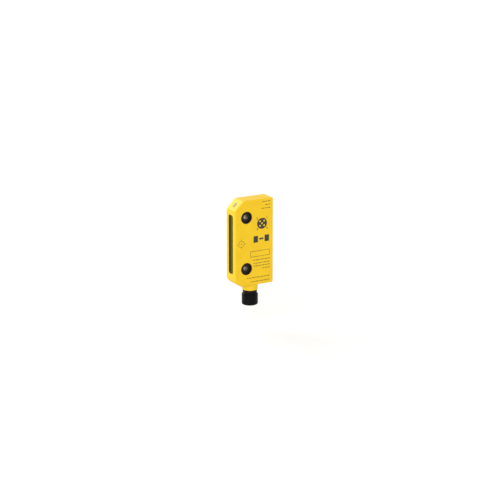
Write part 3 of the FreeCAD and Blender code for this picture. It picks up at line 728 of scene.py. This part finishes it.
def add_digit(shape, digit, centre, height):
    """Plain numeral, centred on a point."""
    curve = bpy.data.curves.new("digit", "FONT")
    curve.body = str(digit)
    curve.align_x = "CENTER"
    curve.align_y = "CENTER"
    curve.size = height
    curve.offset = DIGIT_WEIGHT
    text = bpy.data.objects.new("digit", curve)
    mesh = bpy.data.meshes.new_from_object(text)
    mesh.transform(Matrix.Translation(centre))
    shape.from_mesh(mesh)
    bpy.data.objects.remove(text)
    bpy.data.curves.remove(curve)
    bpy.data.meshes.remove(mesh)


outward = [Vector((math.cos(angle), math.sin(angle), 0)) for angle in map(math.radians, PIN_ANGLES)]
marks = bmesh.new()
rim = add_circle(marks, DIAGRAM, DIAGRAM_RADIUS)
max(rim, key=lambda corner: corner.co.y).co.y -= KEY_NOTCH
for direction in [Vector(), *outward]:
    add_circle(marks, DIAGRAM + direction * DOT_CIRCLE, DOT_RADIUS)
bmesh.ops.triangle_fill(marks, use_beauty=True, use_dissolve=False, edges=marks.edges[:])
for number, direction in enumerate(outward, start=1):
    add_digit(marks, number, DIAGRAM + direction * DIGIT_CIRCLE, DIGIT_HEIGHT)
print_marks("pin_diagram", marks, print_ink)

# %% [markdown]
# ## Sensing sign
# The sign says that the sensor works together with a second block across a gap: two blocks with a double
# arrow between them. The blocks are bars with rounded corners. The arrow could be put together from a bar
# and two triangles, but where they touch, walls would be left inside it. So it is one outline of ten points.

# %% Print the sensing sign
SIGN_LEFT, SIGN_RIGHT = 6.6, 21.2
SIGN_LOW, SIGN_HIGH = -0.4, 5.2
BLOCK_WIDTH = 4.2
BLOCK_CORNER = 0.5
ARROW_GAP = 0.6
ARROW_LINE = 0.9
HEAD_LENGTH = 2.1
HEAD_WIDTH = 2.4


def add_double_arrow(shape, left, right, height):
    """Level arrow with a head at each end."""
    upper = [(left + HEAD_LENGTH, HEAD_WIDTH / 2), (left + HEAD_LENGTH, ARROW_LINE / 2),
             (right - HEAD_LENGTH, ARROW_LINE / 2), (right - HEAD_LENGTH, HEAD_WIDTH / 2)]
    lower = [(across, -up) for across, up in reversed(upper)]
    outline = [(left, 0), *upper, (right, 0), *lower]
    shape.faces.new([shape.verts.new((across, height + up, 0)) for across, up in outline])


marks = bmesh.new()
for left in (SIGN_LEFT, SIGN_RIGHT - BLOCK_WIDTH):
    add_bar(marks, left, left + BLOCK_WIDTH, SIGN_LOW, SIGN_HIGH, corner=BLOCK_CORNER)
add_double_arrow(marks, SIGN_LEFT + BLOCK_WIDTH + ARROW_GAP, SIGN_RIGHT - BLOCK_WIDTH - ARROW_GAP,
                 (SIGN_LOW + SIGN_HIGH) / 2)
print_marks("sensing_sign", marks, print_ink)

# %% [markdown]
# ## Writing field and fine lines
# Users write a machine number into a plain frame. It is a bar whose face is inset by the width of the line
# and then taken out. Above and below it are fine lines, which are rows of word-long bars, set from the right
# end. Letters would have to say something, and bars don't. Each line starts with another length, so that no
# two look alike.

# %% Print the writing field and the lines
FIELD_LEFT, FIELD_RIGHT = 3.6, 21.7
FIELD_LOW, FIELD_HIGH = -12.4, -7.4
FINE_LINE = 0.62
WORDS = (2.4, 1.3, 3.1, 1.8, 2.7)
WORD_GAP = 0.55
SHORTEST_WORD = 0.8
# left end, right end and height of each line
FINE_LINES = [
    (14.8, 22.4, 33.5), (16.5, 22.4, 30.6), (13.1, 22.4, 27.9),
    (5.1, 22.0, -15.2), (6.8, 22.0, -18.0), (6.8, 22.0, -20.3), (14.9, 22.0, -22.8),
    (0.2, 21.8, -30.0), (4.2, 21.8, -33.4),
]


def add_frame(shape, left, right, low, high, width):
    """Outline of a rectangle, as wide as a line."""
    add_bar(shape, left, right, low, high)
    face = shape.faces[:][-1]
    bmesh.ops.inset_region(shape, faces=[face], thickness=width, use_boundary=True, use_even_offset=True)
    bmesh.ops.delete(shape, geom=[face], context="FACES")


def add_words(shape, left, right, height, number):
    """Line of word-long bars from the right end to the left one, starting with one of the words."""
    while right - left > SHORTEST_WORD:
        start = max(left, right - WORDS[number % len(WORDS)])
        add_bar(shape, start, right, height - FINE_LINE / 2, height + FINE_LINE / 2)
        right = start - WORD_GAP
        number += 1


marks = bmesh.new()
add_frame(marks, FIELD_LEFT, FIELD_RIGHT, FIELD_LOW, FIELD_HIGH, LINE)
print_marks("writing_field", marks, print_ink)

marks = bmesh.new()
for number, (left, right, height) in enumerate(FINE_LINES):
    add_words(marks, left, right, height, number)
print_marks("fine_lines", marks, fine_ink)

# %% [markdown]
# ## Centre mark
# A fitter sets the sensor level with its second half. A circle with a dot and four ticks marks the middle
# between the screw holes, from which both are measured. A circle alone is an edge with no width, so the
# line round it is a short edge that is spun round the centre.

# %% Print the centre mark
CENTRE_MARK = Vector((-4.8, 0.0, 0.0))
CENTRE_RADIUS = 2.6
CENTRE_DOT = 0.45
TICK = 1.3


def add_ring(shape, centre, radius, width):
    """Line round a circle."""
    ends = [shape.verts.new(centre + Vector((radius + side * width / 2, 0, 0))) for side in (-1, 1)]
    edge = shape.edges.new(ends)
    bmesh.ops.spin(shape, geom=ends + [edge], cent=centre, axis=(0, 0, 1), angle=math.tau, steps=CIRCLE_SIDES,
                   use_merge=True)


marks = bmesh.new()
add_ring(marks, CENTRE_MARK, CENTRE_RADIUS, LINE)
add_circle(marks, CENTRE_MARK, CENTRE_DOT, filled=True)
across, level = CENTRE_MARK.x, CENTRE_MARK.y
inner = CENTRE_RADIUS + LINE
for side in (-1, 1):
    start, end = sorted((side * inner, side * (inner + TICK)))
    add_bar(marks, across + start, across + end, level - LINE / 2, level + LINE / 2)
    add_bar(marks, across - LINE / 2, across + LINE / 2, level + start, level + end)
print_marks("centre_mark", marks, fine_ink)
